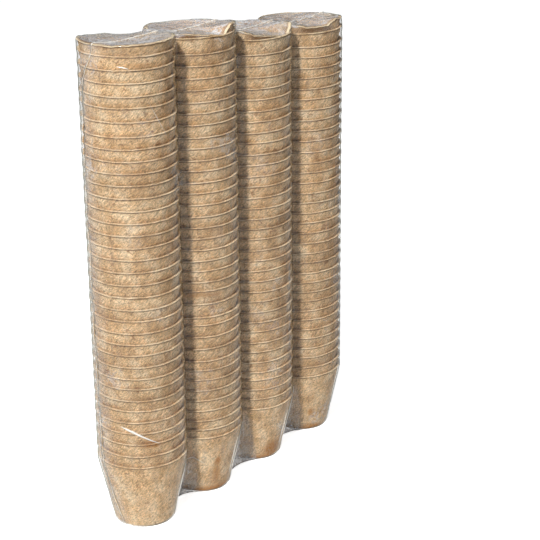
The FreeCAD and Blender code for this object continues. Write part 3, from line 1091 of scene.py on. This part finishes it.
def drape(x, y):
    """Level of the film over any spot of the pack."""
    total, weights, nearest = 0.0, 0.0, math.inf
    for stack in STACKS:
        reach = math.hypot(x - AXES[stack], y)
        turn = math.atan2(y, x - AXES[stack])
        level = rim_level(stack, turn)
        inner = RIM_RADIUS - rim_inset(stack, turn) - 2 * POT_WALL
        if reach < inner:
            share = (reach / inner) ** 2
            mean = MEAN_RIM_LEVELS[stack]
            level = mean + (level - mean) * share - FILM_SAG * (1 - share)
            fold = noise.noise(Vector((x, y * CRINKLE_STRETCH, stack)) / CRINKLE_SIZE)
            level += CRINKLE * CRINKLE_SHARES[stack] * (1 - share) * (1 - 2 * abs(fold))
        outside = max(0.0, reach - RIM_RADIUS)
        weight = 1 / (outside + BRIDGE_BLEND) ** 2
        total += weight * level
        weights += weight
        nearest = min(nearest, outside)
    return total / weights - BRIDGE_SAG_SHARE * nearest


print("film over stack 1 at the middle:", round(drape(AXES[1], 0.0) / MM, 1), "mm")

# %% [markdown]
# ## How the film stands on the side
#
# The film is drawn in a little between one rim and the next, which gives the wavy outline that the
# photograph shows. In the valleys it hangs in long folds, with a pleat beside each stack. At the
# near end the weld holds it off the pots, more at some heights than at others. Towards a pressed
# rim it goes in with the rim. Smooth noise shapes the folds, and sines and tables shape the rest.

# %% Stand of the film on the side
RIPPLE = 0.5 * MM
SIDE_WRINKLE = 0.22 * MM
SIDE_WRINKLES_ROUND = 2.3
SIDE_WRINKLE_HEIGHT = 25 * MM
VALLEY_FOLD = 0.7 * MM
VALLEY_FOLDS_ACROSS = 5.0
VALLEY_FOLD_HEIGHT = 60 * MM
VALLEY_PLEAT = 0.7 * MM
PLEAT_MEAN = 0.6
PLEAT_SHARE = 0.11
STAND_OFF = 2.0 * MM
STAND_OFF_SPREAD = 26
STAND_OFF_HEIGHT = 34 * MM
STAND_OFF_END = 30 * MM
STAND_OFF_MEAN, STAND_OFF_SWING = 0.6, 0.8
PULL_START = 0.5 * MM
PULL_SHORTEST = 2 * MM


def stand_off_share(level):
    """0 at the floor and at the top rim, 1 between: where the film can stand off the pots."""
    below_rim = max(0.0, (TOP_RIMS[1] - level) / STAND_OFF_END)
    return min(1.0, max(0.0, level / POT_HEIGHT), below_rim)


def side_shift(column, level, turn, side):
    """How far the film stands out from its plain outline."""
    kind, number, share = column
    if kind == "valley":
        deep = math.sin(math.pi * share)
        spot = Vector((share * VALLEY_FOLDS_ACROSS + number * 7, level / VALLEY_FOLD_HEIGHT, side))
        fold = noise.noise(spot)
        pleat = max(0.0, 1 - abs(min(share, 1 - share) - PLEAT_SHARE) / PLEAT_SHARE)
        return deep * VALLEY_FOLD * fold + VALLEY_PLEAT * pleat * (PLEAT_MEAN + fold)
    climb = float(np.interp(level, RIM_LEVELS[number], range(POT_COUNTS[number])))
    top = TOP_RIMS[number] - PITCHES[number]
    shift = 0.0
    if 0 < climb and level < top:
        shift -= RIPPLE * (0.5 - 0.5 * math.cos(2 * math.pi * climb))
    spot = Vector((math.cos(turn), math.sin(turn) * side, level / SIDE_WRINKLE_HEIGHT))
    shift += SIDE_WRINKLE * noise.noise(spot * SIDE_WRINKLES_ROUND)
    if number == 1:
        weld_turn = math.pi - side * weld_wander(level)
        apart = math.degrees(abs(turn - weld_turn)) / STAND_OFF_SPREAD
        along_weld = noise.noise(Vector((0.0, side, level / STAND_OFF_HEIGHT)))
        loose = STAND_OFF_MEAN + STAND_OFF_SWING * along_weld
        shift += STAND_OFF * max(0.0, 1 - apart) ** 2 * max(loose, 0.0) * stand_off_share(level)
    world_turn = turn * side
    drop = rim_drop(number, world_turn)
    above = (level - top - PULL_START) / max(PITCHES[number] - drop, PULL_SHORTEST)
    if above > 0:
        shift -= rim_inset(number, world_turn) * min(above, 1.0)
    return shift


print("film drawn in between the rims by", RIPPLE / MM, "mm")

# %% [markdown]
# ## Where the film is milky
#
# Film turns milky where it has shrunk most or lies slack: over the mouths, at the feet of the
# valleys and beside the weld. Three kinds of milk are told apart: slack film is cloudy all over,
# folds run in streaks, and crazed film has small white crackles in patches. On top, the film is
# pulled tight over each rim and stays clear there.

# %% Milkiness of the film
TOP_MILK = 0.44
TOP_CRAZED = 0.4
TOP_FOLDS = 0.22
CLEAR_RIM = 2 * MM
LOW_MILK = 0.8
LOW_REACH = 1.2 * POT_HEIGHT
WELD_MILK = 0.36
WELD_FOLDS = 0.08
SIDE_FOLDS = 0.1
VALLEY_FOLD_MILK = 0.4
CRAZED_MILK = 0.26
CRAZED_SIZE = 27 * MM

# Where in the noise a crazed patch starts, and how soon it is at its whitest.
TOP_PATCHES = (0.05, 0.2)
SIDE_PATCHES = (0.36, 0.12)


def crazing(patch, start, rise):
    """How crazed the film is where the noise has a value, from 0 to 1."""
    return min(1.0, max(0.0, patch - start) / rise)


def film_state(column, part, place):
    """How slack, how folded and how crazed the film is at a place, each as the milk that it adds."""
    patch = noise.noise(place / CRAZED_SIZE + Vector((5, 3, 1)))
    kind, number, share = column
    if part != "side":
        pulled = 1.0
        if kind == "stack":
            away = Vector((place.x - AXES[number], place.y))
            inward = RIM_RADIUS - rim_inset(number, math.atan2(away.y, away.x)) - away.length
            pulled = min(1.0, max(0.0, inward / CLEAR_RIM - 1))
        crazed = TOP_CRAZED * crazing(patch, *TOP_PATCHES)
        return TOP_MILK * pulled, TOP_FOLDS * pulled, crazed * pulled
    crazed = CRAZED_MILK * crazing(patch, *SIDE_PATCHES)
    if kind == "valley":
        low = max(0.0, 1 - place.z / LOW_REACH)
        return LOW_MILK * low, VALLEY_FOLD_MILK * (0.4 + 0.6 * low), crazed
    if number == 1:
        apart = math.degrees(share * math.pi) / STAND_OFF_SPREAD
        return WELD_MILK * max(0.0, 1 - apart), WELD_FOLDS, crazed
    return 0.0, SIDE_FOLDS, crazed


print("milk over the mouths:", TOP_MILK, "and at the feet of the valleys:", LOW_MILK)

# %% [markdown]
# ## Rows of the webs
#
# A cloth simulation could shrink a sheet over the pots, but it would be slow and its folds would
# fall where they like. So each web is a flat grid, as film is, and every corner of it is given its
# place. Its columns follow the outline. Its rows run from the weld under the pack, out to the edge
# of the base, up the side, over the rim and back to the weld on top.

# %% Places of a web's grid
UNDER_ROWS = 5
SIDE_ROWS = 250
TOP_ROWS = 16
EDGE_TURNS = (20, 45, 70)
EDGE_ROUND = 1.0 * MM
FILM_LOW = 0.2 * MM


def web_rows():
    """Each row of a web, as its part and its share of the way along it, or its turn at the edge."""
    rows = [("under", step / UNDER_ROWS) for step in range(UNDER_ROWS)]
    rows += [("side", step / SIDE_ROWS) for step in range(SIDE_ROWS + 1)]
    rows += [("edge", turn) for turn in EDGE_TURNS]
    return rows + [("top", 1 - step / TOP_ROWS) for step in range(TOP_ROWS + 1)]


ROWS = web_rows()


def web_spot(column, row, side):
    """Place of a corner of a web's grid. The front web has a side of -1 and the back web of 1."""
    kind, share = row
    if kind == "under":
        place, _, _ = outline_spot(column, FILM_LOW, side)
        return Vector((place.x, side * max(WELD_HALF, place.y * share), FILM_LOW))
    top_place, out, turn = outline_spot(column, TOP_RIMS[column[1]], side)
    edge = top_place + out * side_shift(column, top_place.z, turn, side)
    top_level = drape(edge.x, side * edge.y)
    if kind == "side":
        level = FILM_LOW + (top_level - EDGE_ROUND - FILM_LOW) * share
        place, out, turn = outline_spot(column, level, side)
        place += out * side_shift(column, level, turn, side)
        return Vector((place.x, side * place.y, level))
    if kind == "edge":
        turned = math.radians(share)
        place = edge - out * EDGE_ROUND * (1 - math.cos(turned))
        level = top_level - EDGE_ROUND * (1 - math.sin(turned))
        return Vector((place.x, side * max(WELD_HALF, place.y), level))
    place = edge - out * EDGE_ROUND
    y = side * max(WELD_HALF, place.y * share)
    return Vector((place.x, y, drape(place.x, y)))


def around_length(column):
    """Distance along the web to a column, measured half way up and at the middle valley."""
    kind, number, share = column
    hollow, contact = hollow_at(2, TALLEST / 2)
    arc = (math.pi - 2 * contact) * (RIM_RADIUS + FILM_GAP)
    dip = (math.pi - 2 * contact) * hollow
    before = (number - 1) * (arc + dip)
    return before + (arc * share if kind == "stack" else arc + dip * share)


print("film rows:", len(ROWS), "and length along the pack:", round(around_length(COLUMNS[-1]) / MM), "mm")

# %% [markdown]
# ## White creases
#
# Where the film is doubled it shows as a white crease: a long one across the near stack, a few
# short ones, and folds low at the right of the stacks, where spare film from the valleys was
# gathered. They could be drawn in the material, but a strip has real edges that catch the light. So
# each crease is a thin strip of the milky film just outside the front web, raised along its middle.

# %% Creases of doubled film
FILM_THICKNESS = 0.12 * MM
CREASE_STEPS = 5

# Each point has the angle from the stack's nearest point, the height and the half width in mm.
CREASES = (
    (1, ((-21, 104.5, 0.2), (-12, 102, 1.1), (-4, 99.5, 1.3), (6, 95.5, 0.9), (16, 91.5, 0.6),
         (27, 87.5, 0.1))),
    (1, ((-7, 420.5, 0.1), (0, 419.8, 0.6), (7, 418.5, 0.1))),
    (1, ((28, 391, 0.1), (40, 375, 0.4), (52, 360, 0.1))),
    (2, ((-21, 37, 0.1), (-8, 40.5, 0.5), (9, 33, 0.1))),
    (2, ((-42, 418, 0.1), (-34, 412, 1.2), (-27, 404, 0.3))),
    (1, ((84, 56, 0.2), (79, 34, 1.6), (74, 10, 0.3))),
    (2, ((86, 60, 0.2), (80, 38, 2.8), (71, 8, 0.3))),
    (2, ((70, 50, 0.2), (66, 34, 1.5), (62, 14, 0.2))),
    (3, ((88, 66, 0.2), (81, 42, 2.8), (71, 10, 0.3))),
    (3, ((68, 46, 0.2), (64, 30, 1.3), (60, 12, 0.2))),
)


def add_creases(mesh):
    """Adds the doubled strips to the front web, just outside it."""
    for stack, points in CREASES:
        steps = CREASE_STEPS * (len(points) - 1)
        strip = bmesh.ops.create_grid(mesh, x_segments=steps, y_segments=2, size=0.5)["verts"]
        for corner in strip:
            along = (corner.co.x + 0.5) * (len(points) - 1)
            angle, level, half = (np.interp(along, range(len(points)), values) for values in zip(*points))
            turn = NEAREST + math.radians(angle)
            reach = radius_at(level * MM) + FILM_THICKNESS * (1 + 2 * (corner.co.y == 0))
            level += 2 * corner.co.y * half
            corner.co = (
                AXES[stack] + math.cos(turn) * reach, math.sin(turn) * reach, float(level) * MM,
            )
        for face in {face for corner in strip for face in corner.link_faces}:
            face.material_index = 1
            face.smooth = True


print("creases:", len(CREASES))

# %% [markdown]
# ## The two webs
#
# A grid of the right number of squares is moved into place corner by corner. Its UV map keeps the
# lengths of the flat sheet, so the streaks run up the film as they were drawn. A Solidify modifier
# then gives it its thickness. Real film is less than half as thick, which would be too thin to
# shade cleanly.

# %% Build the webs
WEB_MERGE_DISTANCE = 0.02 * MM


def build_web(name, side):
    """The piece of one web. The front web has a side of -1 and the back web of 1."""
    mesh = bmesh.new()
    wide, tall = len(COLUMNS) - 1, len(ROWS) - 1
    bmesh.ops.create_grid(mesh, x_segments=wide, y_segments=tall, size=0.5)
    uv = mesh.loops.layers.uv.new("sheet")
    states = [mesh.verts.layers.float.new(state) for state in ("slack", "folds", "crazed")]
    marks = {}
    for corner in mesh.verts:
        column, row = round((corner.co.x + 0.5) * wide), round((corner.co.y + 0.5) * tall)
        marks[corner] = (column, row)
    middle = COLUMNS[STACK_COLUMNS // 2]
    path = [0.0]
    for low_row, high_row in zip(ROWS, ROWS[1:]):
        step = web_spot(middle, high_row, side) - web_spot(middle, low_row, side)
        path.append(path[-1] + step.length)
    for face in mesh.faces:
        face.smooth = True
        for loop in face.loops:
            column, row = marks[loop.vert]
            loop[uv].uv = (around_length(COLUMNS[column]), path[row])
    for corner, (column, row) in marks.items():
        corner.co = web_spot(COLUMNS[column], ROWS[row], side)
        for layer, value in zip(states, film_state(COLUMNS[column], ROWS[row][0], corner.co)):
            corner[layer] = value
    bmesh.ops.remove_doubles(mesh, verts=mesh.verts, dist=WEB_MERGE_DISTANCE)
    mesh.normal_update()
    lowest = min(mesh.faces, key=lambda face: face.calc_center_median().z)
    if lowest.normal.z > 0:
        bmesh.ops.reverse_faces(mesh, faces=mesh.faces)
    if side < 0:
        add_creases(mesh)
    data = bpy.data.meshes.new(name)
    mesh.to_mesh(data)
    mesh.free()
    data.materials.append(clear_film)
    data.materials.append(weld_film)
    piece = bpy.data.objects.new(f"{name}_film", data)
    bpy.context.scene.collection.objects.link(piece)
    wall = piece.modifiers.new("thickness", "SOLIDIFY")
    wall.thickness = FILM_THICKNESS
    wall.offset = -1.0
    piece.visible_shadow = False
    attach(piece, "root")
    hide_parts(name)
    return piece


webs = [build_web("film_front_web", -1), build_web("film_back_web", 1)]
print("webs:", [len(web.data.polygons) for web in webs], "faces")

# %% [markdown]
# ## The weld
#
# A hot wire cuts the film and melts the two webs together in one pass. It leaves a thin milky bead
# all the way round, with bright droplets where the film gathered. A curve with a round bevel could
# be this bead, but it would be even. So it is a grid that is rolled up round the centre line and
# closed end to end, thicker and thinner by a noise, and finer down the two ends of the pack.

# %% Build the weld
WELD_STEP = 2.0 * MM
WELD_ROUND = 0.5 * MM
WELD_SIDES = 8
END_WELD_SHARE = 0.5
LEVEL_FROM = 0.7
DROPLET_SIZE = 3 * MM
BEAD_MEAN, BEAD_SWING = 0.8, 0.9


def weld_end(column, top_level, slips):
    """Points of the weld down one end of the pack, below its point on top.

    It stays in the centre plane, unless it slips round the stack with the edge of the webs.
    """
    steps = round(top_level / WELD_STEP)
    points = []
    for step in range(1, steps + 1):
        level = top_level - (top_level - FILM_LOW) * step / steps
        place, out, turn = outline_spot(column, level, 1)
        place += out * side_shift(column, level, turn, 1)
        points.append(Vector((place.x, place.y if slips else 0.0, max(level, WELD_ROUND))))
    return points


def weld_path():
    """Centre line of the weld: over the top, down the far end, under the pack and up the near end."""
    left, right = AXES[1] - RIM_RADIUS - FILM_GAP, AXES[4] + RIM_RADIUS + FILM_GAP
    steps = round((right - left) / WELD_STEP)
    over = []
    for step in range(steps + 1):
        x = left + (right - left) * step / steps
        over.append(Vector((x, 0.0, drape(x, 0.0) + WELD_ROUND / 2)))
    far_end = weld_end(COLUMNS[-1], over[-1].z, slips=False)
    near_end = weld_end(COLUMNS[0], over[0].z, slips=True)
    start, end = far_end[-1].x, near_end[-1].x
    steps = round((start - end) / WELD_STEP)
    under = [Vector((start + (end - start) * step / steps, 0.0, WELD_ROUND)) for step in range(1, steps)]
    return over + far_end + under + near_end[::-1]


def build_weld():
    """The piece of the weld, a bead round its centre line."""
    path = weld_path()
    mesh = bmesh.new()
    bmesh.ops.create_grid(mesh, x_segments=len(path), y_segments=WELD_SIDES, size=0.5)
    for corner in mesh.verts:
        along = round((corner.co.x + 0.5) * len(path)) % len(path)
        turn = 2 * math.pi * round((corner.co.y + 0.5) * WELD_SIDES) / WELD_SIDES
        before, here, after = path[along - 1], path[along], path[(along + 1) % len(path)]
        forward = (after - before).normalized()
        out = Vector((0, 1, 0)).cross(forward)
        flat = 1.0 if abs(forward.x) > LEVEL_FROM else END_WELD_SHARE
        bead = flat * WELD_ROUND * (BEAD_MEAN + BEAD_SWING * noise.noise(here / DROPLET_SIZE))
        corner.co = here + out * math.cos(turn) * bead + Vector((0, 1, 0)) * math.sin(turn) * bead
    bmesh.ops.remove_doubles(mesh, verts=mesh.verts, dist=MERGE_DISTANCE)
    bmesh.ops.recalc_face_normals(mesh, faces=mesh.faces)
    for face in mesh.faces:
        face.smooth = True
    data = bpy.data.meshes.new("film_weld_seam")
    mesh.to_mesh(data)
    mesh.free()
    data.materials.append(weld_film)
    piece = bpy.data.objects.new("film_weld_seam_bead", data)
    piece.visible_shadow = False
    bpy.context.scene.collection.objects.link(piece)
    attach(piece, "root")
    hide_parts("film_weld_seam")
    return piece


weld = build_weld()
print("weld:", len(weld.data.polygons), "faces")
